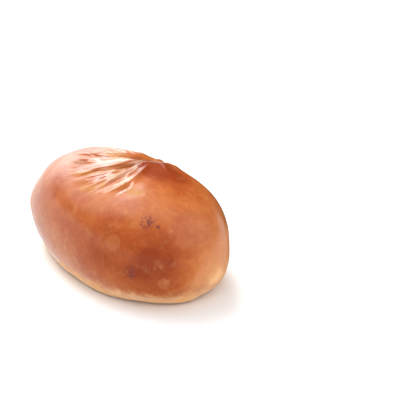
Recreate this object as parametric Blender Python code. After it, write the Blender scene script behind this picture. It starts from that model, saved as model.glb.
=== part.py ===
"""A baked piroshok: one plump oval bun of yeast dough, shut all round, that stands on its flat base.

Metres, X along the bun towards its broad end, Z up, origin in the middle of the base.
The skin of the crown has shrunk into folds that spread like a fan from one pinch behind its middle.
"""

import math

import bmesh
import bpy
import numpy as np
from mathutils import Vector

# Size of the smooth bun
LENGTH = 0.125
WIDTH = 0.0738
HEIGHT = 0.0546
BELT_HEIGHT = 0.0196  # of the widest line above the tray
ROOT_DEPTH = 0.0327  # the lower half's own depth below the belt, had the tray not pressed it flat
FULLNESS = 2.13  # power of the superellipsoid: 2 is an ellipsoid, more is boxier
BROAD_END = 0.106  # share by which the +X end is wider than the middle
HIGH_END = 0.05  # share by which the +X end is higher
RIM_ROUNDING = 0.003  # height over which the side turns into the base

# Broad unevenness of the dough: where it points from the bun's middle, its radius there, its height
SWELLS = (
    ((-0.76, -0.64, 0.07), 0.16, 0.0007),  # blunt narrow end
    ((-0.81, -0.42, 0.42), 0.20, -0.0010),
    ((-0.80, 0.45, 0.35), 0.35, 0.0008),
    ((-0.45, -0.80, -0.35), 0.20, -0.0005),  # soft crease of the front side
    ((0.30, -0.77, -0.56), 0.18, 0.0006),
    ((0.62, -0.55, -0.56), 0.18, -0.0007),
    ((0.84, -0.14, -0.52), 0.14, 0.0008),  # heel of the broad end
    ((0.86, 0.32, -0.39), 0.16, 0.0006),
    ((0.80, 0.60, 0.03), 0.25, -0.0010),
    ((0.48, 0.68, 0.54), 0.25, 0.0006),
    ((-0.20, 0.95, 0.10), 0.35, -0.0009),  # hollow of the back
    ((0.20, 0.93, -0.25), 0.25, 0.0007),
    ((-0.55, 0.18, 0.82), 0.20, 0.0005),
)

# The fan: where its pinch is on the crown, and the hollow that the shrunk skin lies in
PINCH = (0.0010, 0.0155)
PINCH_RADIUS = 0.0060
PINCH_DEPTH = 0.0018
HOLLOW = (0.0000, -0.0060)
HOLLOW_RADIUS = 0.0170
HOLLOW_DEPTH = 0.0015

# Each fold: plan points that it starts at, passes midway and ends at, its height and half width
FOLDS = (
    ((-0.0010, 0.0130), (-0.0190, -0.0035), (-0.0440, -0.0120), 0.0012, 0.0024),
    ((0.0010, 0.0110), (-0.0080, -0.0060), (-0.0310, -0.0130), 0.0011, 0.0021),
    ((0.0030, 0.0095), (-0.0010, -0.0075), (-0.0140, -0.0250), 0.0013, 0.0024),
    ((0.0068, -0.0060), (-0.0010, -0.0152), (-0.0125, -0.0226), 0.0007, 0.0017),
    ((0.0050, 0.0100), (0.0116, -0.0085), (-0.0020, -0.0248), 0.0014, 0.0020),
    ((0.0070, 0.0115), (0.0193, -0.0105), (0.0100, -0.0245), 0.0012, 0.0022),
    ((-0.0020, 0.0150), (-0.0160, 0.0100), (-0.0330, 0.0030), 0.0008, 0.0022),
    ((0.0060, 0.0160), (0.0150, 0.0130), (0.0220, 0.0090), 0.0006, 0.0020),
    ((0.0050, 0.0190), (0.0100, 0.0225), (0.0125, 0.0280), 0.0007, 0.0018),
    ((0.0000, 0.0195), (-0.0020, 0.0240), (-0.0060, 0.0285), 0.0008, 0.0018),
    ((-0.0030, 0.0175), (-0.0105, 0.0190), (-0.0185, 0.0235), 0.0008, 0.0020),
)
FOLD_STEPS = 14  # straight pieces that a fold's curve is measured by

# The mesh: meridians run out from the pinch and turn as the folds do. They crowd to the fan's side.
MERIDIANS = 112
RINGS = 54
CROWDING = 0.42
FAN_CROWDING = 0.45
FAN_BEARING = -95  # degrees from +X, seen from above
SWIRL = -28  # degrees that a meridian turns on its way to the bun's side

CRUST_COLOUR = (0.56, 0.20, 0.075, 1.0)
CRUST_ROUGHNESS = 0.32


def unit(vectors):
    """Each row scaled to length one."""
    return vectors / np.linalg.norm(vectors, axis=1)[:, None]


def signed_power(values, power):
    """The power of each value's size, with the value's own sign."""
    return np.sign(values) * np.abs(values) ** power


def fade(values, start, end):
    """0 before start and 1 after end, with a soft step between."""
    share = np.clip((values - start) / (end - start), 0, 1)
    return share * share * (3 - 2 * share)


def pinch_direction():
    """Direction from the bun's middle whose point on the crown is the pinch."""
    across = PINCH[0] / (LENGTH / 2), PINCH[1] / (WIDTH / 2)
    upward = (1 - sum(abs(share) ** FULLNESS for share in across)) ** (1 / FULLNESS)
    return Vector((*across, upward)).normalized()


def directions_of(ball):
    """Unit directions for the points of a sphere whose pole goes to the pinch, crowded to the fan."""
    level = np.hypot(ball[:, 0], ball[:, 1])
    bearing = np.arctan2(ball[:, 1], ball[:, 0])
    bearing -= FAN_CROWDING * np.sin(bearing - math.radians(FAN_BEARING))
    bearing += math.radians(SWIRL) * level**1.5
    turned = np.stack([level * np.cos(bearing), level * np.sin(bearing), ball[:, 2]], axis=1)
    tilt = Vector((0, 0, 1)).rotation_difference(pinch_direction()).to_matrix()
    return unit((turned + (0, 0, CROWDING)) @ np.array(tilt).T)


def half_sizes(directions):
    """The bun's half length, half width and half height along each direction, above and below the belt."""
    tall = np.where(directions[:, 2] > 0, HEIGHT - BELT_HEIGHT, ROOT_DEPTH)
    return np.stack(
        [
            np.full(len(directions), LENGTH / 2),
            WIDTH / 2 * (1 + BROAD_END * directions[:, 0]),
            tall * (1 + HIGH_END * directions[:, 0]),
        ],
        axis=1,
    )


def smooth_bun(directions):
    """Points of the even superellipsoid, before the tray presses it flat."""
    reach = (np.abs(directions) ** FULLNESS).sum(axis=1) ** (-1 / FULLNESS)
    return half_sizes(directions) * directions * reach[:, None] + (0, 0, BELT_HEIGHT)


def outward(directions):
    """The smooth bun's normals."""
    return unit(signed_power(directions, FULLNESS - 1) / half_sizes(directions))


def swells(directions):
    """Height of the dough's broad unevenness."""
    height = np.zeros(len(directions))
    for towards, radius, rise in SWELLS:
        middle = np.array(towards) / np.linalg.norm(towards)
        away = np.linalg.norm(directions - middle, axis=1)
        height += rise * np.exp(-((away / radius) ** 2))
    return height


def curve_through(start, middle, end):
    """Points along the parabola that passes through three points, at even steps of its parameter."""
    share = np.linspace(0, 1, FOLD_STEPS + 1)[:, None]
    weights = (1 - share) * (1 - 2 * share), 4 * share * (1 - share), share * (2 * share - 1)
    return sum(weight * np.array(point) for weight, point in zip(weights, (start, middle, end)))


def beside(plan, route):
    """Each plan point's distance from a route, and how far along it, from 0 to 1, the nearest point is."""
    nearest = np.full(len(plan), np.inf)
    along = np.zeros(len(plan))
    for step, (start, end) in enumerate(zip(route[:-1], route[1:])):
        run = end - start
        share = np.clip((plan - start) @ run / (run @ run), 0, 1)
        away = np.linalg.norm(plan - start - share[:, None] * run, axis=1)
        closer = away < nearest
        nearest = np.where(closer, away, nearest)
        along = np.where(closer, (step + share) / (len(route) - 1), along)
    return nearest, along


def folds(plan):
    """Height that the fan of folds adds to the crown: sharp crests on broad feet, fading at both ends."""
    height = np.zeros(len(plan))
    for start, middle, end, rise, half_width in FOLDS:
        away, along = beside(plan, curve_through(start, middle, end))
        swell = fade(along, 0, 0.3) * (1 - fade(along, 0.55, 1))
        height += rise * swell / (1 + (away / half_width) ** 2) ** 2
    return height


def hump(plan, middle, radius, rise):
    """Height of a round hump, or of a hollow where rise is negative."""
    away = np.linalg.norm(plan - np.array(middle), axis=1)
    return rise * np.exp(-((away / radius) ** 2))


def crown_relief(points):
    """The pinch, the hollow and the folds, on the crown alone."""
    plan = points[:, :2]
    relief = folds(plan)
    relief += hump(plan, PINCH, PINCH_RADIUS, -PINCH_DEPTH)
    relief += hump(plan, HOLLOW, HOLLOW_RADIUS, -HOLLOW_DEPTH)
    return relief * fade(points[:, 2], BELT_HEIGHT, HEIGHT * 0.7)


def pressed_flat(heights):
    """Heights after baking on a tray: nothing below it, and a rounded rim where the side meets it."""
    near = np.clip(heights, -RIM_ROUNDING, RIM_ROUNDING)
    rounded = (near + RIM_ROUNDING) ** 2 / (4 * RIM_ROUNDING)
    return np.where(heights > RIM_ROUNDING, heights, rounded)


def bun_points(directions):
    """Points of the finished bun along directions from its middle."""
    points = smooth_bun(directions)
    relief = swells(directions) + crown_relief(points)
    points += outward(directions) * relief[:, None]
    points[:, 2] = pressed_flat(points[:, 2])
    middle = (points.min(axis=0) + points.max(axis=0)) / 2
    points[:, :2] -= middle[:2]
    return points


def crust_material():
    """Egg-washed crust, glossy and brown."""
    material = bpy.data.materials.new("crust")
    material.use_nodes = True
    shader = material.node_tree.nodes["Principled BSDF"]
    shader.inputs["Base Color"].default_value = CRUST_COLOUR
    shader.inputs["Roughness"].default_value = CRUST_ROUGHNESS
    shader.inputs["Metallic"].default_value = 0.0
    return material


def make_piroshok(collection):
    """The bun: a sphere, each of whose points is moved to the bun's surface."""
    shape = bmesh.new()
    bmesh.ops.create_uvsphere(shape, u_segments=MERIDIANS, v_segments=RINGS, radius=1)
    ball = np.array([vertex.co for vertex in shape.verts])
    for vertex, point in zip(shape.verts, bun_points(directions_of(ball))):
        vertex.co = point
    mesh = bpy.data.meshes.new("piroshok")
    shape.to_mesh(mesh)
    shape.free()
    mesh.shade_smooth()
    mesh.materials.append(crust_material())
    bun = bpy.data.objects.new("piroshok", mesh)
    collection.objects.link(bun)
    return bun


def clear_scene():
    """Removes what the file opened with."""
    for item in list(bpy.data.objects):
        bpy.data.objects.remove(item, do_unlink=True)


def main():
    clear_scene()
    collection = bpy.data.collections.new("Piroshok")
    bpy.context.scene.collection.children.link(collection)
    make_piroshok(collection)


main()
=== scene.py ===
"""Looks of the baked piroshok: an egg-washed crust with a fan of shrunk folds on its crown.

The form is that of the CAD solid, on a finer mesh, with the finer relief of the skin on it.
Metres, degrees and the CAD frame throughout, unless a name ends in _MM.
"""

import math

import bmesh
import bpy
import numpy as np
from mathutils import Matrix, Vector, noise

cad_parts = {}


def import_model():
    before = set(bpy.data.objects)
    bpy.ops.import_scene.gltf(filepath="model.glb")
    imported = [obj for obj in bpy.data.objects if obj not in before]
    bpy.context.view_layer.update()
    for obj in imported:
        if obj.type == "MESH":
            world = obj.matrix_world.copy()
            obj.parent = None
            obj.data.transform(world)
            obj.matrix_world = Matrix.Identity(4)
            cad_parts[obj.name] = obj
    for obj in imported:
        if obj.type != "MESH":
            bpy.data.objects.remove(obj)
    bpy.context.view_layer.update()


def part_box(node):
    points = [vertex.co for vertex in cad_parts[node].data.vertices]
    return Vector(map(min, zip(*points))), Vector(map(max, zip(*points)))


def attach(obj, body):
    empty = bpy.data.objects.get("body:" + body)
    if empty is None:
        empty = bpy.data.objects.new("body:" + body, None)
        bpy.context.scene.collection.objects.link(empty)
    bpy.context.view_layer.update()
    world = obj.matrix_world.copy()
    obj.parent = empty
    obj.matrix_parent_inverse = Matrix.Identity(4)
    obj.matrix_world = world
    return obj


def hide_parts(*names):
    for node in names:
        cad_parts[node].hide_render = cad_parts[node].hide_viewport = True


NODE = "piroshok"

# Form of the smooth bun, as in the solid
LENGTH = 0.125
WIDTH = 0.0738
HEIGHT = 0.0546
BELT_HEIGHT = 0.0196
ROOT_DEPTH = 0.0327
FULLNESS = 2.13
BROAD_END = 0.106
HIGH_END = 0.05
RIM_ROUNDING = 0.003
CROWN_SHARE = 0.7  # of the height, above which the crown's relief is whole

# Broad unevenness of the dough: where it points from the bun's middle, its radius there, its height
SWELLS = (
    ((-0.76, -0.64, 0.07), 0.16, 0.0007),
    ((-0.81, -0.42, 0.42), 0.20, -0.0010),
    ((-0.80, 0.45, 0.35), 0.35, 0.0008),
    ((-0.45, -0.80, -0.35), 0.20, -0.0005),
    ((0.30, -0.77, -0.56), 0.18, 0.0006),
    ((0.62, -0.55, -0.56), 0.18, -0.0007),
    ((0.84, -0.14, -0.52), 0.14, 0.0008),
    ((0.86, 0.32, -0.39), 0.16, 0.0006),
    ((0.80, 0.60, 0.03), 0.25, -0.0010),
    ((0.48, 0.68, 0.54), 0.25, 0.0006),
    ((-0.20, 0.95, 0.10), 0.35, -0.0009),
    ((0.20, 0.93, -0.25), 0.25, 0.0007),
    ((-0.55, 0.18, 0.82), 0.20, 0.0005),
)

PINCH = (0.0010, 0.0155)
PINCH_RADIUS = 0.0060
PINCH_DEPTH = 0.0018
HOLLOW = (0.0000, -0.0060)
HOLLOW_RADIUS = 0.0170
HOLLOW_DEPTH = 0.0015

# Each fold: plan points that it starts at, passes midway and ends at, its height and half width.
# All but the eighth are a little flatter than the solid's, as the finer relief below stands on them.
FOLDS = (
    ((-0.0010, 0.0130), (-0.0190, -0.0035), (-0.0440, -0.0120), 0.0007, 0.0030),
    ((0.0010, 0.0110), (-0.0080, -0.0060), (-0.0310, -0.0130), 0.0006, 0.0028),
    ((0.0030, 0.0095), (-0.0010, -0.0075), (-0.0140, -0.0250), 0.0009, 0.0030),
    ((0.0068, -0.0060), (-0.0010, -0.0152), (-0.0125, -0.0226), 0.0004, 0.0017),
    ((0.0050, 0.0100), (0.0116, -0.0085), (-0.0020, -0.0248), 0.0010, 0.0022),
    ((0.0070, 0.0115), (0.0193, -0.0105), (0.0100, -0.0245), 0.0009, 0.0024),
    ((-0.0020, 0.0150), (-0.0160, 0.0100), (-0.0330, 0.0030), 0.0006, 0.0022),
    ((0.0060, 0.0160), (0.0150, 0.0130), (0.0220, 0.0090), 0.0006, 0.0020),
    ((0.0050, 0.0190), (0.0100, 0.0225), (0.0125, 0.0280), 0.0006, 0.0018),
    ((0.0000, 0.0195), (-0.0020, 0.0240), (-0.0060, 0.0285), 0.0006, 0.0018),
    ((-0.0030, 0.0175), (-0.0105, 0.0190), (-0.0185, 0.0235), 0.0006, 0.0020),
)
FOLD_STEPS = 14  # straight pieces that a fold's curve is measured by
FOLD_ENDS = (0.3, 0.55)  # shares of a fold's length that it rises before, and that it sinks after

# The mesh: the solid's own meridians and rings, with each face cut finer
MERIDIANS = 112
RINGS = 54
FINER_LEVELS = 2  # each cuts a face in four
CROWDING = 0.42
FAN_CROWDING = 0.45
FAN_BEARING = -95
SWIRL = -28

# Fine ridges of the fan, each as a fold is. The first four are crests on the folds.
RIDGES = (
    ((-0.0010, 0.0130), (-0.0190, -0.0035), (-0.0440, -0.0120), 0.00016, 0.0012),
    ((0.0068, -0.0060), (-0.0010, -0.0152), (-0.0125, -0.0226), 0.00025, 0.0009),
    ((0.0050, 0.0100), (0.0118, -0.0085), (0.0050, -0.0225), 0.00090, 0.0006),
    ((0.0136, 0.0031), (0.0192, -0.0134), (0.0100, -0.0245), 0.00080, 0.0006),
    ((0.0086, -0.0081), (0.0049, -0.0145), (-0.0087, -0.0241), 0.00035, 0.0008),
    ((0.0102, 0.0026), (0.0135, -0.0080), (0.0092, -0.0191), 0.00035, 0.0007),
    ((0.0130, -0.0010), (0.0168, -0.0095), (0.0125, -0.0200), 0.00030, 0.0007),
)

# Painted highlights on the fan's crests: the height of a crest that gets the whole painted highlight, the
# distances from the pinch that the painted highlight starts between, and those that the palest painted
# highlight starts and ends between
CREST_HEIGHT = 0.0005
CREST_STARTS = (0.003, 0.011)
PALEST_STARTS = (0.007, 0.014)
PALEST_ENDS = (0.016, 0.032)

# The broad band of the fan that has few wrinkles: its route, its half width, where along it it ends, how
# pale its painted highlight is beside that of a crest, and the share of the wrinkles that it has lost
SMOOTH_BAND = ((0.0044, 0.0074), (-0.0018, -0.0028), (-0.0116, -0.0138))
SMOOTH_HALF_WIDTH = 0.0029
SMOOTH_END = 0.65
SMOOTH_BAND_HIGHLIGHT = 0.7
SMOOTH_SHARE = 0.8

# Two kinds of wrinkle between the folds: how wide and how long they are, and how high
WRINKLES = ((0.0026, 0.012, 0.00048), (0.0013, 0.007, 0.00026))
STREAK_DISTANCE = 0.025  # from the pinch, where a wrinkle is as wide as it says

# Short grooves between the folds, each as a fold is
GROOVES = (
    ((0.0075, 0.0050), (0.0055, -0.0020), (0.0020, -0.0085), -0.0011, 0.0015),
    ((-0.0115, -0.0043), (-0.0150, -0.0045), (-0.0190, -0.0056), -0.0005, 0.0010),
    ((-0.0145, -0.0102), (-0.0195, -0.0121), (-0.0260, -0.0142), -0.0010, 0.0028),
)

# Lips, where a band of skin rises slowly and then drops off on its left, as seen along the way from the
# pinch: a route as a fold's, the height, how far before the lip the skin rises and how wide the drop is
LIPS = (
    ((0.0045, 0.0060), (0.0008, -0.0075), (-0.0120, -0.0220), 0.0008, 0.0065, 0.0017),
    ((-0.0060, 0.0020), (-0.0206, -0.0052), (-0.0400, -0.0098), 0.0002, 0.0050, 0.0013),
    ((0.0090, -0.0100), (0.0010, -0.0190), (-0.0110, -0.0250), 0.0003, 0.0040, 0.0011),
)
LIP_ENDS = (0.2, 0.6)  # as a fold's

# The fan's right edge, seen from the front: bearings from the pinch that it starts and ends at
EDGE_BEARINGS = (-49, -19)  # after unwinding
EDGE_DISTANCES = (0.014, 0.036)
EDGE_RISE = 0.0006
EDGE_HALF_WIDTH = 0.0012
EDGE_REACH = 0.012  # how far past the edge the crust stays high
EDGE_STARTS = (0.004, 0.012)  # distances from the pinch
EDGE_END = 0.8  # share of the fan's reach

# How far the fan reaches from the pinch, and how far a fold turns on its way there
FAN_REACH = 0.042
FOLD_WINDING = 45
WINDING_POWER = 1.6

# The fan's wrinkled skin: distances from the pinch that it starts between, shares of the fan's reach that
# it ends between, how far from the right edge it stops there, and how far round it stops at the left
SKIN_STARTS = (0.005, 0.012)
SKIN_ENDS = (0.82, 1.05)
SKIN_RIGHT = (-0.002, 0.001)
SKIN_LEFT = (-0.060, -0.040)
SKIN_LEFT_TURNS = (-150, -105)
LEAST_DISTANCE = 0.001  # from the pinch, at which a turn round it is still taken

# Unevenness of baked dough all over, and of the base's edge: the size of its bumps, and their height
BUMPS = ((0.013, 0.00012), (0.0042, 0.00004), (0.0017, 0.000012))
BASE_BUMPS = (0.006, 0.0004)
BASE_HEIGHTS = (0.001, 0.007)

# Flat blisters under the crust: middle, radius, rise
BLISTERS_MM = (
    ((32.6, -31.8, 31.8), 4.0, 0.14),
    ((55.0, -20.1, 15.7), 3.0, 0.10),
    ((-28.0, 31.0, 30.0), 3.6, 0.12),
    ((38.0, 33.0, 26.0), 3.0, 0.10),
)

# Clusters of dark purplish specks where the filling's juice came to the crust: middle, radius
SPECKLED_MM = (
    ((41.8, -19.2, 42.2), 3.7),
    ((43.0, -29.7, 21.4), 2.4),
    ((43.4, -29.6, 18.6), 2.5),
    ((-31.0, 24.0, 37.0), 2.4),
)
DOTS_MM = (((46.8, -16.4, 40.3), 1.0),)

# Browning: what most of the crust has, the size and depth of its unevenness, and zones: a place on the
# crust, the radius round it, and how much darker it is there. Most zones are darker or paler baking; some
# are painted shade or painted shadow, as marked.
BROWNING = 0.5
BROWNING_BUMPS = (0.022, 0.10)
BAKED_AND_SHADED_ZONES_MM = (
    # Darker low on the front side: deeper baking, and partly painted shade
    ((52, -22, 25), 15, 0.43),
    ((36, -30, 33), 12, 0.10),
    ((44, -29, 18), 10, 0.15),
    ((20, -36, 26), 20, 0.26),
    ((61, 3, 12), 11, -0.32),
    ((63, 2, 25), 9, -0.14),
    # Painted shadow on the crown beside the pinch: this zone, the next two, and the one at (19, 3, 53)
    ((14, 10, 53), 12, 0.40),
    ((28, 10, 51), 11, 0.36),
    ((9, 9, 52), 8, 0.50),
    ((-14, -26, 42), 21, 0.24),
    ((-30, -30, 31), 9, 0.12),
    # Painted shadow beside the pinch
    ((19, 3, 53), 9, 0.25),
    ((16, -23, 47), 7, -0.20),
    ((-8, -20, 49), 7, -0.22),
    ((-6, -27, 43), 7, -0.12),
    ((6, -18, 50), 13, 0.20),
    ((30, -18, 47), 12, 0.10),
    # Painted shade on the broad end, where less light falls
    ((54, -3, 37), 13, 0.20),
)

# Places where the folds drew the washed skin apart and paler, yellower dough shows: middle, radius. It
# also shows a little in patches of the fan, whose width and length come next.
OPENED_MM = (
    ((0.0, -24.0, 46.7), 2.6),
    ((4.6, -22.8, 47.6), 2.8),
    ((8.5, -19.8, 49.6), 2.0),
    ((25.6, -15.0, 50.0), 2.2),
    ((28.0, -12.6, 50.3), 1.8),
)
PATCH_SIZE = (0.004, 0.011)
PATCH_NOISE = (0.0, 0.4)  # between which a patch starts
PATCH_COVER = 0.6

# Where the wash dried duller, between the pinch and the broad end: middle, radius
DULL_MM = (((25.0, 12.0, 50.0), 24.0), ((13.0, 6.0, 54.0), 7.0))

# Where the pale rim climbs the side: middle, radius
PALE_MM = (((61.5, 7.0, 11.0), 7.5), ((59.5, 16.0, 9.0), 7.5))
PALE_COVER = 0.8

# Height of the line below which the crust had no egg wash, by the bearing from the bun's middle
WASH_BEARINGS = (-180, -120, -90, -50, -32, -20, -10, 0, 20, 60, 120, 180)
WASH_HEIGHTS_MM = (9, 7, 6, 5, 5, 5, 9, 20, 32, 26, 9, 9)
WASH_SOFTNESS = 0.004
WASH_LOBES = 0.005  # how far the line wanders
WASH_LOBE_SIZE = 0.012
CROWN_HEIGHTS = (0.024, 0.040)  # between which the wash gets thicker
RIM_HEIGHTS = (0.002, 0.012)  # between which the pale rim ends

# Linear colours: of the washed crust from pale to deep brown, and of what lies over it
CRUST_COLOURS = (
    (0.0, (0.60, 0.29, 0.12)),
    (0.25, (0.57, 0.205, 0.072)),
    (0.5, (0.49, 0.145, 0.036)),
    (0.75, (0.38, 0.080, 0.018)),
    (1.0, (0.26, 0.039, 0.008)),
)
BARE_COLOUR = (0.55, 0.225, 0.085)
# The paler crust where the bun met the tray, made paler still with painted light bounced up from the floor
RIM_AND_BOUNCE_COLOUR = (0.82, 0.45, 0.185)
OPENED_COLOUR = (0.45, 0.215, 0.040)
BLISTER_COLOUR = (0.44, 0.135, 0.045)
SPECK_COLOUR = (0.20, 0.040, 0.028)
# Painted shade along the grooves of the crown
CREASE_SHADE_COLOUR = (0.31, 0.092, 0.018)
# Painted highlight along the fan's crests and its smooth band
CREST_HIGHLIGHT_COLOUR = (0.70, 0.45, 0.30)
# The palest painted highlight, on the crests near the pinch
PALEST_HIGHLIGHT_COLOUR = (0.78, 0.64, 0.53)
# Painted shade in the furrows beside the crests
FURROW_SHADE_COLOUR = (0.42, 0.115, 0.030)

# Finer looks, each scale in bumps for each metre: how much each size of mottling changes the browning, how
# far the edges of marks wander, how ragged the wash's lower edge is, how much of the crust a speck hides,
# and how crested the skin is between the middle of a furrow, where its painted shade is whole, and its edge
MOTTLES = ((110, 0.22), (420, 0.12), (1500, 0.07))
WOBBLE_SCALE = 500
WOBBLE_REACH = 0.0022
RAGGED_SCALE = 200
RAGGEDNESS = 1.3
SPECK_SCALE = 700
SPECK_COVER = 0.95
FURROW = (-0.4, 0.0)

# Gloss: the crust's roughness under the wash and off it, its specular level, and the wash's roughness and
# index of refraction
WASHED_ROUGHNESS = 0.36
BARE_ROUGHNESS = 0.6
SPECULAR_LEVEL = 0.12
COAT_ROUGHNESS = 0.1
COAT_IOR = 1.5

# Camera, as it stood to the bun in the photograph
VIEW_AZIMUTH = 53.171
VIEW_ELEVATION = 25.0
VIEW_DISTANCE = 0.7
VIEW_LENS = 128.807
SENSOR_WIDTH = 36.0
BUN_MIDDLE = Vector((0, 0, 0.025))
AIM_RIGHT = 0.03678
AIM_UP = 0.006179

# The surround: radiance overhead, of the skyline, and of what the crust reflects from below it. These two
# differ before and behind the bun, and change between two cosines of the angle from straight behind it.
# Turns are from there too, clockwise seen from above. Edges are soft between two angles.
SURROUND_RADIANCE = 0.13
SKYLINE_RADIANCES = (0.5, 1.0)
SKYLINE_COSINES = (-0.6, 0.2)
SKYLINE_ELEVATIONS = ((-14, -3), (4, 14))
LOW_RADIANCES = (0.12, 1.15)
LOW_COSINES = (-0.3, 0.5)

# A tall window behind the bun to its left, and a dark screen behind it to its right, where the photograph
# has its neighbours
WINDOW_RADIANCE = 3.3
WINDOW_TURNS = ((-56, -22), (-6, 5))
WINDOW_ELEVATIONS = ((-2, 20), (44, 60))
SCREEN_TURNS = ((-1, 8), (34, 44))
SCREEN_ELEVATIONS = ((-44, -34), (58, 72))

# Round lamps with soft edges: turn and elevation, angles from the middle that it fades between, radiance
LAMPS = (
    ((-27, 51), (6, 21), 7.0),
    ((-55, 48), (14, 36), 1.5),
    ((-9, 39), (6, 15), 2.4),
    ((-40, 74), (10, 36), 0.9),
    ((108, 42), (8, 44), 1.0),
    ((85, -35), (10, 50), 0.9),
)

# Soft lights that the gloss doesn't show: name, turn, elevation, distance, size, radiance
SOFTBOXES = (
    ("fill", 180, 40, 1.6, (2.4, 1.6), 1.19),
    ("top", 0, 88, 2.6, (4.0, 4.0), 0.4),
)
AREA_LIGHT_WATTS = 4  # for each square metre of an area light, at a radiance of 1

FLOOR_RADIUS = 1.05
FLOOR_SIDES = 64
FLOOR_COLOUR = (0.86, 0.86, 0.86, 1.0)
FLOOR_ROUGHNESS = 0.9
FLOOR_DROP = 0.0001  # keeps the floor clear of the bun's base


def unit(vectors):
    """Each row scaled to length one."""
    return vectors / np.linalg.norm(vectors, axis=1)[:, None]


def signed_power(values, power):
    """The power of each value's size, with the value's own sign."""
    return np.sign(values) * np.abs(values) ** power


def fade(values, start, end):
    """0 before start and 1 after end, with a soft step between."""
    share = np.clip((values - start) / (end - start), 0, 1)
    return share * share * (3 - 2 * share)


def pinch_direction():
    """Direction from the bun's middle whose point on the crown is the pinch."""
    across = PINCH[0] / (LENGTH / 2), PINCH[1] / (WIDTH / 2)
    upward = (1 - sum(abs(share) ** FULLNESS for share in across)) ** (1 / FULLNESS)
    return Vector((*across, upward)).normalized()


def directions_of(ball):
    """Unit directions for the points of a sphere whose pole goes to the pinch, crowded to the fan."""
    level = np.hypot(ball[:, 0], ball[:, 1])
    bearing = np.arctan2(ball[:, 1], ball[:, 0])
    bearing -= FAN_CROWDING * np.sin(bearing - math.radians(FAN_BEARING))
    bearing += math.radians(SWIRL) * level**1.5
    turned = np.stack([level * np.cos(bearing), level * np.sin(bearing), ball[:, 2]], axis=1)
    tilt = Vector((0, 0, 1)).rotation_difference(pinch_direction()).to_matrix()
    return unit((turned + (0, 0, CROWDING)) @ np.array(tilt).T)


def half_sizes(directions):
    """The bun's half length, half width and half height along each direction, above and below the belt."""
    tall = np.where(directions[:, 2] > 0, HEIGHT - BELT_HEIGHT, ROOT_DEPTH)
    return np.stack(
        [
            np.full(len(directions), LENGTH / 2),
            WIDTH / 2 * (1 + BROAD_END * directions[:, 0]),
            tall * (1 + HIGH_END * directions[:, 0]),
        ],
        axis=1,
    )


def smooth_bun(directions):
    """Points of the even superellipsoid, before the tray presses it flat."""
    reach = (np.abs(directions) ** FULLNESS).sum(axis=1) ** (-1 / FULLNESS)
    return half_sizes(directions) * directions * reach[:, None] + (0, 0, BELT_HEIGHT)


def outward(directions):
    """The smooth bun's normals."""
    return unit(signed_power(directions, FULLNESS - 1) / half_sizes(directions))


def swells(directions):
    """Height of the dough's broad unevenness."""
    height = np.zeros(len(directions))
    for towards, radius, rise in SWELLS:
        middle = np.array(towards) / np.linalg.norm(towards)
        away = np.linalg.norm(directions - middle, axis=1)
        height += rise * np.exp(-((away / radius) ** 2))
    return height


def curve_through(start, middle, end):
    """Points along the parabola that passes through three points, at even steps of its parameter."""
    share = np.linspace(0, 1, FOLD_STEPS + 1)[:, None]
    weights = (1 - share) * (1 - 2 * share), 4 * share * (1 - share), share * (2 * share - 1)
    return sum(weight * np.array(point) for weight, point in zip(weights, (start, middle, end)))


def beside(plan, route):
    """Each plan point's distance from a route, more than 0 to its left and less to its right, and how far
    along the route, from 0 to 1, the nearest point is."""
    nearest = np.full(len(plan), np.inf)
    along = np.zeros(len(plan))
    for step, (start, end) in enumerate(zip(route[:-1], route[1:])):
        run = end - start
        offset = plan - start
        share = np.clip(offset @ run / (run @ run), 0, 1)
        away = np.linalg.norm(offset - share[:, None] * run, axis=1)
        leftward = np.where(run[0] * offset[:, 1] > run[1] * offset[:, 0], 1, -1)
        closer = away < np.abs(nearest)
        nearest = np.where(closer, away * leftward, nearest)
        along = np.where(closer, (step + share) / (len(route) - 1), along)
    return nearest, along


def folds(plan, routes):
    """Height that folds add to the crown: sharp crests on broad feet, fading at both ends."""
    height = np.zeros(len(plan))
    for start, middle, end, rise, half_width in routes:
        away, along = beside(plan, curve_through(start, middle, end))
        swell = fade(along, 0, FOLD_ENDS[0]) * (1 - fade(along, FOLD_ENDS[1], 1))
        height += rise * swell / (1 + (away / half_width) ** 2) ** 2
    return height


def lips(plan):
    """Height that the lips add to the crown."""
    height = np.zeros(len(plan))
    for start, middle, end, rise, run, drop in LIPS:
        leftward, along = beside(plan, curve_through(start, middle, end))
        swell = fade(along, 0, LIP_ENDS[0]) * (1 - fade(along, LIP_ENDS[1], 1))
        slope = np.exp(-((leftward / run) ** 2))
        height += rise * swell * np.where(leftward < 0, slope, 1 - fade(leftward, 0, drop))
    return height


def hump(plan, middle, radius, rise):
    """Height of a round hump, or of a hollow where rise is negative."""
    away = np.linalg.norm(plan - np.array(middle), axis=1)
    return rise * np.exp(-((away / radius) ** 2))


def on_crown(points):
    """1 on the crown and 0 below the belt, with a soft step between."""
    return fade(points[:, 2], BELT_HEIGHT, HEIGHT * CROWN_SHARE)


def crown_relief(points):
    """The pinch, the hollow and the folds, on the crown alone."""
    plan = points[:, :2]
    relief = folds(plan, FOLDS)
    relief += hump(plan, PINCH, PINCH_RADIUS, -PINCH_DEPTH)
    relief += hump(plan, HOLLOW, HOLLOW_RADIUS, -HOLLOW_DEPTH)
    return relief * on_crown(points)


def pressed_flat(heights):
    """Heights after baking on a tray: nothing below it, and a rounded rim where the side meets it."""
    near = np.clip(heights, -RIM_ROUNDING, RIM_ROUNDING)
    rounded = (near + RIM_ROUNDING) ** 2 / (4 * RIM_ROUNDING)
    return np.where(heights > RIM_ROUNDING, heights, rounded)


def bumps(points, size):
    """Soft noise from -1 to 1, with bumps of about the given size."""
    return np.array([noise.noise(point) for point in points / size])


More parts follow.
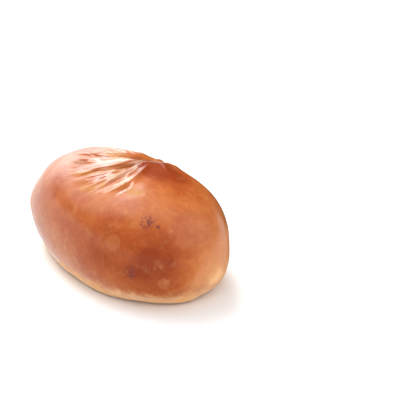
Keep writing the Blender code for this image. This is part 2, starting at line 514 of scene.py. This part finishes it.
def fan_place(plan):
    """Each plan point's distance from the pinch, and its bearing from there once the folds are unwound."""
    offset = plan - np.array(PINCH)
    away = np.linalg.norm(offset, axis=1)
    bearing = np.degrees(np.arctan2(offset[:, 1], offset[:, 0]))
    bearing += FOLD_WINDING * (away / FAN_REACH) ** WINDING_POWER
    return away, bearing


def beyond_edge(plan):
    """How far a plan point is past the fan's right edge, in metres: less than 0 within the fan."""
    away, bearing = fan_place(plan)
    edge = np.interp(away, EDGE_DISTANCES, EDGE_BEARINGS)
    turn = (bearing - edge + 180) % 360 - 180
    return np.radians(turn) * away


def within_fan(plan):
    """1 where the skin of the crown is drawn into the fan, and 0 off it."""
    away = fan_place(plan)[0]
    nearer, farther = (FAN_REACH * share for share in SKIN_ENDS)
    reached = fade(away, *SKIN_STARTS) * (1 - fade(away, nearer, farther))
    past = beyond_edge(plan)
    around = np.degrees(past / np.maximum(away, LEAST_DISTANCE))
    side = (1 - fade(past, *SKIN_RIGHT)) * fade(past, *SKIN_LEFT)
    return reached * side * fade(around, *SKIN_LEFT_TURNS)


def streaks(plan, width, length):
    """Soft noise from -1 to 1 that is drawn out along the folds. Each width has a noise of its own."""
    away, bearing = fan_place(plan)
    across = np.radians(bearing) * STREAK_DISTANCE
    own_level = np.full(len(plan), width * 1000)
    return bumps(np.stack([across / width, away / length, own_level], axis=1), 1)


def on_band(plan):
    """1 along the middle of the smooth band, and 0 off it."""
    away, along = beside(plan, curve_through(*SMOOTH_BAND))
    return np.exp(-((away / SMOOTH_HALF_WIDTH) ** 2)) * (1 - fade(along, SMOOTH_END, 1))


def wrinkles(plan):
    """Small sharp wrinkles between the folds, which run as the folds do."""
    height = np.zeros(len(plan))
    for width, length, rise in WRINKLES:
        height += rise * (0.5 - np.abs(streaks(plan, width, length)) * 2)
    return height * within_fan(plan) * (1 - SMOOTH_SHARE * on_band(plan))


def edge_step(plan):
    """Height of the step up from the fan's skin to the crust past its right edge."""
    past = beyond_edge(plan)
    step = fade(past, -EDGE_HALF_WIDTH, EDGE_HALF_WIDTH) * np.exp(-np.clip(past, 0, None) / EDGE_REACH)
    away = fan_place(plan)[0]
    near = fade(away, *EDGE_STARTS) * (1 - fade(away, FAN_REACH * EDGE_END, FAN_REACH))
    return EDGE_RISE * step * near * (past < EDGE_REACH * 3)


def skin(points):
    """Fine relief of the crust: crests and wrinkles of the fan, and the gentle unevenness of baked dough."""
    plan = points[:, :2]
    crown = folds(plan, RIDGES) + folds(plan, GROOVES) + lips(plan) + wrinkles(plan) + edge_step(plan)
    relief = crown * on_crown(points)
    for middle, radius, rise in BLISTERS_MM:
        relief += rise / 1000 * near_places(points, ((middle, radius),), hardness=3)
    for size, rise in BUMPS:
        relief += bumps(points, size) * rise
    size, rise = BASE_BUMPS
    relief += bumps(points, size) * rise * (1 - fade(points[:, 2], *BASE_HEIGHTS))
    return relief


def bun_points(directions, low, high):
    """Points of the finished bun along directions from its middle, fitted to the solid's box."""
    points = smooth_bun(directions)
    relief = swells(directions) + crown_relief(points) + skin(points)
    points += outward(directions) * relief[:, None]
    points[:, 2] = pressed_flat(points[:, 2])
    least, most = points.min(axis=0), points.max(axis=0)
    return low + (points - least) * (high - low) / (most - least)


def browning_and_shade(points):
    """How darkly the crust is baked, from 0, pale, to 1, deep brown, with painted shade and painted shadow
    in some zones.
    """
    size, depth = BROWNING_BUMPS
    baked = BROWNING + depth * bumps(points, size)
    for middle, radius, more in BAKED_AND_SHADED_ZONES_MM:
        away = np.linalg.norm(points * 1000 - middle, axis=1)
        baked += more * np.exp(-((away / radius) ** 2))
    return baked


def near_places(points, places, hardness=1.0):
    """1 at some places and 0 away from them. A harder edge makes each a disc."""
    cover = np.zeros(len(points))
    for middle, radius in places:
        away = np.linalg.norm(points * 1000 - middle, axis=1) / radius
        cover = np.maximum(cover, np.exp(-(away ** (2 * hardness))))
    return cover


def washed(points):
    """How much egg wash covers the crust: all of it on the crown, and none by the base."""
    bearing = np.degrees(np.arctan2(points[:, 1], points[:, 0]))
    line = np.interp(bearing, WASH_BEARINGS, WASH_HEIGHTS_MM) / 1000
    line += WASH_LOBES * bumps(points * (1, 1, 0.3), WASH_LOBE_SIZE)
    return fade(points[:, 2], line - WASH_SOFTNESS, line + WASH_SOFTNESS)


def opened(points):
    """How much of the paler dough shows: all of it in a few places, and some of it in patches of the fan."""
    plan = points[:, :2]
    patches = PATCH_COVER * fade(streaks(plan, *PATCH_SIZE), *PATCH_NOISE) * within_fan(plan)
    return np.maximum(near_places(points, OPENED_MM), patches * on_crown(points))


def crest_light_and_shade(points):
    """1 along the fan's sharp crests, and less than 0 in the furrows beside them: how much painted highlight
    a crest gets, and painted shade a furrow.
    """
    plan = points[:, :2]
    height = (folds(plan, RIDGES) + wrinkles(plan)) / CREST_HEIGHT
    most = fade(fan_place(plan)[0], *CREST_STARTS)
    return np.clip(height + SMOOTH_BAND_HIGHLIGHT * on_band(plan), -1, most) * on_crown(points)


def palest_highlight(points):
    """1 along the crests near the pinch, where the painted highlight is palest, and 0 off them."""
    away = fan_place(points[:, :2])[0]
    return np.clip(crest_light_and_shade(points), 0, 1) * fade(away, *PALEST_STARTS) * (1 - fade(away, *PALEST_ENDS))


def creased(points):
    """1 along the middle of each groove of the crown, and 0 off them: where the grooves get painted shade.
    """
    depth = -folds(points[:, :2], GROOVES) / min(-groove[3] for groove in GROOVES)
    return np.clip(depth, 0, 1) * on_crown(points)


def add_attribute(mesh, name, values):
    """A number for each vertex, which the material reads."""
    layer = mesh.attributes.new(name, "FLOAT", "POINT")
    layer.data.foreach_set("value", values.astype(np.float32))


def ball_mesh():
    """The mesh of a ball, with the solid's meridians and rings and each face cut finer."""
    shape = bmesh.new()
    bmesh.ops.create_uvsphere(shape, u_segments=MERIDIANS, v_segments=RINGS, radius=1)
    coarse = bpy.data.meshes.new("ball")
    shape.to_mesh(coarse)
    shape.free()
    ball = bpy.data.objects.new("ball", coarse)
    bpy.context.scene.collection.objects.link(ball)
    finer = ball.modifiers.new("finer", "SUBSURF")
    finer.subdivision_type = "SIMPLE"
    finer.levels = FINER_LEVELS
    depsgraph = bpy.context.evaluated_depsgraph_get()
    mesh = bpy.data.meshes.new_from_object(ball.evaluated_get(depsgraph))
    bpy.data.objects.remove(ball, do_unlink=True)
    mesh.name = "crust"
    return mesh


def make_crust():
    """The bun's visible crust."""
    low, high = (np.array(corner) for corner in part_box(NODE))
    mesh = ball_mesh()
    ball = np.zeros(len(mesh.vertices) * 3, np.float32)
    mesh.vertices.foreach_get("co", ball)
    points = bun_points(directions_of(unit(ball.reshape(-1, 3).astype(float))), low, high)
    mesh.vertices.foreach_set("co", points.astype(np.float32).ravel())
    mesh.update()
    mesh.shade_smooth()
    add_attribute(mesh, "browning_and_shade", browning_and_shade(points))
    add_attribute(mesh, "washed", washed(points))
    add_attribute(mesh, "opened", opened(points))
    add_attribute(mesh, "speckled", near_places(points, SPECKLED_MM))
    add_attribute(mesh, "dull", near_places(points, DULL_MM))
    add_attribute(mesh, "creased", creased(points))
    add_attribute(mesh, "crest_light_and_shade", crest_light_and_shade(points))
    add_attribute(mesh, "palest_highlight", palest_highlight(points))
    add_attribute(mesh, "crown", fade(points[:, 2], *CROWN_HEIGHTS))
    rim = np.maximum(1 - fade(points[:, 2], *RIM_HEIGHTS), PALE_COVER * near_places(points, PALE_MM))
    add_attribute(mesh, "rim", rim)
    crust = bpy.data.objects.new("crust", mesh)
    bpy.context.scene.collection.objects.link(crust)
    mesh.materials.append(crust_material())
    return crust


class Tree:
    """Short calls for building a node tree."""

    def __init__(self, tree):
        self.tree = tree

    def add(self, kind, inputs=None, **settings):
        """A node with its settings, and its inputs linked where given an output, or else set."""
        node = self.tree.nodes.new(kind)
        for name, value in settings.items():
            setattr(node, name, value)
        for name, value in (inputs or {}).items():
            self.feed(node.inputs[name], value)
        return node

    def feed(self, socket, value):
        """Links a socket to an output, or sets it to a value."""
        if isinstance(value, bpy.types.NodeSocket):
            self.tree.links.new(value, socket)
        else:
            socket.default_value = value

    def attribute(self, name):
        """A number that the mesh holds for each vertex."""
        return self.add("ShaderNodeAttribute", attribute_name=name).outputs["Fac"]

    def math(self, operation, first, second):
        """The result of a sum on two numbers."""
        return self.add("ShaderNodeMath", {0: first, 1: second}, operation=operation).outputs[0]

    def vector(self, operation, inputs, output="Vector"):
        """The result of a sum on vectors: a vector, or with the output Value a number."""
        return self.add("ShaderNodeVectorMath", inputs, operation=operation).outputs[output]

    def span(self, value, from_low, from_high, to_low, to_high):
        """A value moved softly from one range to another, and held within it."""
        ends = {"From Min": from_low, "From Max": from_high, "To Min": to_low, "To Max": to_high}
        inputs = {"Value": value, **ends}
        return self.add("ShaderNodeMapRange", inputs, interpolation_type="SMOOTHSTEP").outputs["Result"]

    def noise(self, place, scale, detail=3.0, roughness=0.5):
        """Soft noise about 0.5, with the scale in bumps for each metre."""
        inputs = {"Vector": place, "Scale": scale, "Detail": detail, "Roughness": roughness}
        return self.add("ShaderNodeTexNoise", inputs).outputs["Fac"]

    def noise_vector(self, place, scale):
        """Three soft noises about 0.5, as a vector."""
        inputs = {"Vector": place, "Scale": scale, "Detail": 2.0}
        return self.add("ShaderNodeTexNoise", inputs).outputs["Color"]

    def mix(self, factor, first, second):
        """A colour between two, by a factor from 0 to 1."""
        node = self.add("ShaderNodeMix", {"Factor": factor}, data_type="RGBA")
        colours = [socket for socket in node.inputs if socket.type == "RGBA"]
        self.feed(colours[0], first)
        self.feed(colours[1], second)
        return next(socket for socket in node.outputs if socket.type == "RGBA")

    def ramp(self, factor, stops):
        """Colours by a number: each stop is a position and a linear colour."""
        node = self.add("ShaderNodeValToRGB", {"Fac": factor})
        while len(node.color_ramp.elements) < len(stops):
            node.color_ramp.elements.new(0.5)
        for element, (position, colour) in zip(node.color_ramp.elements, stops):
            element.position = position
            element.color = (*colour, 1.0)
        return node.outputs["Color"]


def discs(tree, place, centres_mm, softness):
    """1 within some round marks and 0 outside them, with an edge this soft, in millimetres."""
    cover = 0.0
    for middle, radius in centres_mm:
        inputs = {0: place, 1: [number / 1000 for number in middle]}
        away = tree.vector("DISTANCE", inputs, "Value")
        inner, outer = (radius - softness) / 1000, (radius + softness) / 1000
        cover = tree.math("MAXIMUM", tree.span(away, inner, outer, 1.0, 0.0), cover)
    return cover


def wobbled(tree, place):
    """Places moved about a little, which gives the marks on them uneven edges."""
    moves = tree.vector("SUBTRACT", {0: tree.noise_vector(place, WOBBLE_SCALE), 1: (0.5, 0.5, 0.5)})
    moves = tree.vector("SCALE", {0: moves, "Scale": WOBBLE_REACH})
    return tree.vector("ADD", {0: place, 1: moves})


def mottled(tree, place, baked):
    """The browning, with soft mottling of a few sizes."""
    for scale, amount in MOTTLES:
        mottle = tree.math("SUBTRACT", tree.noise(place, scale, 3.0, 0.55), 0.5)
        baked = tree.math("ADD", baked, tree.math("MULTIPLY", mottle, amount * 2))
    return baked


def specks(tree, place):
    """How dark the specks are: middles of small cells in the clusters, and the single dots."""
    cells = tree.add("ShaderNodeTexVoronoi", {"Vector": place, "Scale": SPECK_SCALE}).outputs["Distance"]
    clustered = tree.span(tree.attribute("speckled"), 0.15, 0.7, 0.0, SPECK_COVER)
    clusters = tree.math("MULTIPLY", tree.span(cells, 0.42, 0.60, 1.0, 0.2), clustered)
    dots = tree.math("MULTIPLY", discs(tree, place, DOTS_MM, 0.35), SPECK_COVER)
    return tree.math("MAXIMUM", clusters, dots)


def crust_colour(tree, place, bare, ragged):
    """Mottled browning, and over it one colour after another, each as far as it covers those before."""
    # The browning, with painted shade and painted shadow in some zones, sets the crust's colour
    colour = tree.ramp(mottled(tree, place, tree.attribute("browning_and_shade")), CRUST_COLOURS)
    wobbly = wobbled(tree, place)
    crest = tree.attribute("crest_light_and_shade")
    blisters = discs(tree, wobbly, [(middle, radius) for middle, radius, rise in BLISTERS_MM], 0.5)
    pale = tree.math("SUBTRACT", tree.attribute("rim"), ragged)
    layers = (
        (BLISTER_COLOUR, tree.math("MULTIPLY", blisters, 0.55)),
        (OPENED_COLOUR, tree.math("MULTIPLY", tree.attribute("opened"), 0.85)),
        # Painted highlight on the crests
        (CREST_HIGHLIGHT_COLOUR, tree.span(crest, 0.25, 1.0, 0.0, 0.53)),
        # Palest painted highlight near the pinch
        (PALEST_HIGHLIGHT_COLOUR, tree.span(tree.attribute("palest_highlight"), 0.3, 0.9, 0.0, 0.6)),
        # Painted shade in the furrows
        (FURROW_SHADE_COLOUR, tree.span(crest, *FURROW, 0.6, 0.0)),
        # Painted shade in the grooves
        (CREASE_SHADE_COLOUR, tree.math("MULTIPLY", tree.attribute("creased"), 0.75)),
        (BARE_COLOUR, tree.math("MULTIPLY", bare, 0.6)),
        # Pale rim, partly painted bounce light from the floor
        (RIM_AND_BOUNCE_COLOUR, tree.span(pale, 0.0, 1.0, 0.0, 0.85)),
        (SPECK_COLOUR, specks(tree, wobbly)),
    )
    for top, cover in layers:
        colour = tree.mix(cover, colour, (*top, 1.0))
    return colour


def crust_coat(tree, place, bare):
    """How glossy the wash is: most on the crown, and less where it is thin, opened, dull or in a furrow."""
    coat = tree.span(tree.attribute("crown"), 0.0, 1.0, 0.75, 1.0)
    duller = (
        (bare, 0.3),
        (tree.attribute("creased"), 0.15),
        (tree.span(tree.attribute("crest_light_and_shade"), *FURROW, 1.0, 0.0), 0.4),
        (tree.attribute("opened"), 0.25),
        (tree.attribute("dull"), 0.25),
    )
    for cover, least in duller:
        coat = tree.math("MULTIPLY", coat, tree.span(cover, 0.0, 1.0, 1.0, least))
    patchy = tree.span(tree.noise(place, 300, 3.0, 0.5), 0.3, 0.7, 0.7, 1.0)
    return tree.math("MULTIPLY", coat, patchy)


def crust_pores(tree, place):
    """The surface's direction, with the fine pores of the crust."""
    small = tree.math("MULTIPLY", tree.noise(place, 2600, 2.0), 0.4)
    pores = tree.math("ADD", tree.noise(place, 900, 3.0), small)
    bump = tree.add("ShaderNodeBump", {"Height": pores, "Strength": 0.2, "Distance": 0.0002})
    return bump.outputs["Normal"]


def crust_material():
    """Egg-washed crust: mottled browning, painted shade and highlights, half gloss, and a matt pale rim."""
    material = bpy.data.materials.new("crust")
    material.use_nodes = True
    tree = Tree(material.node_tree)
    shader = material.node_tree.nodes["Principled BSDF"]
    place = tree.add("ShaderNodeTexCoord").outputs["Object"]
    ragged = tree.math("SUBTRACT", tree.noise(place, RAGGED_SCALE, 5.0, 0.65), 0.5)
    ragged = tree.math("MULTIPLY", ragged, RAGGEDNESS)
    bare = tree.span(tree.math("ADD", tree.attribute("washed"), ragged), 0.1, 0.9, 1.0, 0.0)
    tree.feed(shader.inputs["Base Color"], crust_colour(tree, place, bare, ragged))
    roughness = tree.span(bare, 0.0, 1.0, WASHED_ROUGHNESS, BARE_ROUGHNESS)
    tree.feed(shader.inputs["Roughness"], roughness)
    shader.inputs["Specular IOR Level"].default_value = SPECULAR_LEVEL
    tree.feed(shader.inputs["Coat Weight"], crust_coat(tree, place, bare))
    shader.inputs["Coat Roughness"].default_value = COAT_ROUGHNESS
    shader.inputs["Coat IOR"].default_value = COAT_IOR
    tree.feed(shader.inputs["Normal"], crust_pores(tree, place))
    return material


def view_axes():
    """The directions back to the camera, to its right and up."""
    azimuth, elevation = math.radians(VIEW_AZIMUTH), math.radians(VIEW_ELEVATION)
    level = math.cos(elevation)
    back = Vector((math.sin(azimuth) * level, -math.cos(azimuth) * level, math.sin(elevation)))
    right = Vector((math.cos(azimuth), math.sin(azimuth), 0))
    return back, right, back.cross(right)


def make_camera():
    """The camera, which looks past the bun at the middle of the photograph's frame."""
    back, right, up = view_axes()
    camera = bpy.data.objects.new("camera", bpy.data.cameras.new("camera"))
    camera.data.lens = VIEW_LENS
    camera.data.sensor_width = SENSOR_WIDTH
    camera.location = BUN_MIDDLE + back * VIEW_DISTANCE
    target = BUN_MIDDLE + right * AIM_RIGHT + up * AIM_UP
    camera.rotation_euler = (target - camera.location).to_track_quat("-Z", "Y").to_euler()
    bpy.context.scene.collection.objects.link(camera)
    bpy.context.scene.camera = camera


def aside(turn, elevation):
    """The direction that is turned clockwise by an angle from straight behind the bun, at an elevation."""
    bearing = math.radians(turn - VIEW_AZIMUTH)
    level = math.cos(math.radians(elevation))
    return Vector((math.sin(bearing) * level, math.cos(bearing) * level, math.sin(math.radians(elevation))))


def softbox(name, turn, elevation, distance, size, radiance):
    """A rectangular light that faces the bun, and that its gloss doesn't show."""
    towards = aside(turn, elevation)
    data = bpy.data.lights.new(name, "AREA")
    data.shape = "RECTANGLE"
    data.size, data.size_y = size
    data.energy = radiance * size[0] * size[1] * AREA_LIGHT_WATTS
    light = bpy.data.objects.new(name, data)
    light.location = BUN_MIDDLE + towards * distance
    light.rotation_euler = (-towards).to_track_quat("-Z", "Y").to_euler()
    light.visible_camera = False
    light.visible_glossy = False
    bpy.context.scene.collection.objects.link(light)


def make_lights():
    """Plain soft light from the camera's side and from above."""
    for light in SOFTBOXES:
        softbox(*light)


def sines(angles):
    """The sines of some angles in degrees."""
    return [math.sin(math.radians(angle)) for angle in angles]


def pane(tree, turn, height, turns, elevations):
    """1 within a rectangle of the surround and 0 outside it, with soft edges."""
    left, right = ([math.radians(angle) for angle in edge] for edge in turns)
    bottom, top = (sines(edge) for edge in elevations)
    across = tree.math("MULTIPLY", tree.span(turn, *left, 0.0, 1.0), tree.span(turn, *right, 1.0, 0.0))
    upward = tree.math("MULTIPLY", tree.span(height, *bottom, 0.0, 1.0), tree.span(height, *top, 1.0, 0.0))
    return tree.math("MULTIPLY", across, upward)


def make_world():
    """A dim surround with a pale skyline, a tall bright window, a dark screen and soft lamps."""
    world = bpy.data.worlds.new("surround")
    bpy.context.scene.world = world
    world.use_nodes = True
    tree = Tree(world.node_tree)
    direction = tree.add("ShaderNodeTexCoord").outputs["Generated"]
    behind = tree.vector("DOT_PRODUCT", {0: direction, 1: aside(0, 0)}, "Value")
    rightward = tree.vector("DOT_PRODUCT", {0: direction, 1: aside(90, 0)}, "Value")
    height = tree.add("ShaderNodeSeparateXYZ", {0: direction}).outputs["Z"]
    turn = tree.math("ARCTAN2", rightward, behind)

    skyline_bottom, skyline_top = (sines(edge) for edge in SKYLINE_ELEVATIONS)
    skyline = tree.span(behind, *SKYLINE_COSINES, *SKYLINE_RADIANCES)
    above = tree.span(height, *skyline_top, skyline, SURROUND_RADIANCE)
    low = tree.span(behind, *LOW_COSINES, *LOW_RADIANCES)
    is_above = tree.span(height, *skyline_bottom, 0.0, 1.0)
    lower = tree.math("MULTIPLY", low, tree.math("SUBTRACT", 1.0, is_above))
    strength = tree.math("ADD", tree.math("MULTIPLY", above, is_above), lower)
    window = pane(tree, turn, height, WINDOW_TURNS, WINDOW_ELEVATIONS)
    strength = tree.math("ADD", strength, tree.math("MULTIPLY", window, WINDOW_RADIANCE))
    for place, radii, radiance in LAMPS:
        near = tree.vector("DOT_PRODUCT", {0: direction, 1: aside(*place)}, "Value")
        inner, outer = (math.cos(math.radians(radius)) for radius in radii)
        strength = tree.math("ADD", strength, tree.span(near, outer, inner, 0.0, radiance))
    screen = pane(tree, turn, height, SCREEN_TURNS, SCREEN_ELEVATIONS)
    strength = tree.math("MULTIPLY", strength, tree.math("SUBTRACT", 1.0, screen))
    world.node_tree.nodes["Background"].inputs["Color"].default_value = (1, 1, 1, 1)
    tree.feed(world.node_tree.nodes["Background"].inputs["Strength"], strength)


def make_floor():
    """A plain white floor, round so that its edge is equally far all round."""
    shape = bmesh.new()
    bmesh.ops.create_circle(shape, cap_ends=True, segments=FLOOR_SIDES, radius=FLOOR_RADIUS)
    mesh = bpy.data.meshes.new("floor")
    shape.to_mesh(mesh)
    shape.free()
    material = bpy.data.materials.new("floor")
    material.use_nodes = True
    shader = material.node_tree.nodes["Principled BSDF"]
    shader.inputs["Base Color"].default_value = FLOOR_COLOUR
    shader.inputs["Roughness"].default_value = FLOOR_ROUGHNESS
    shader.inputs["Specular IOR Level"].default_value = 0.0
    mesh.materials.append(material)
    floor = bpy.data.objects.new("floor", mesh)
    floor.location.z = -FLOOR_DROP
    floor.visible_glossy = False  # the surround's low part stands for its reflection
    bpy.context.scene.collection.objects.link(floor)


def main():
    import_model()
    make_camera()
    crust = make_crust()
    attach(crust, "root")
    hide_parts(NODE)
    make_world()
    make_lights()
    make_floor()
    bpy.context.scene.view_settings.view_transform = "Standard"


main()
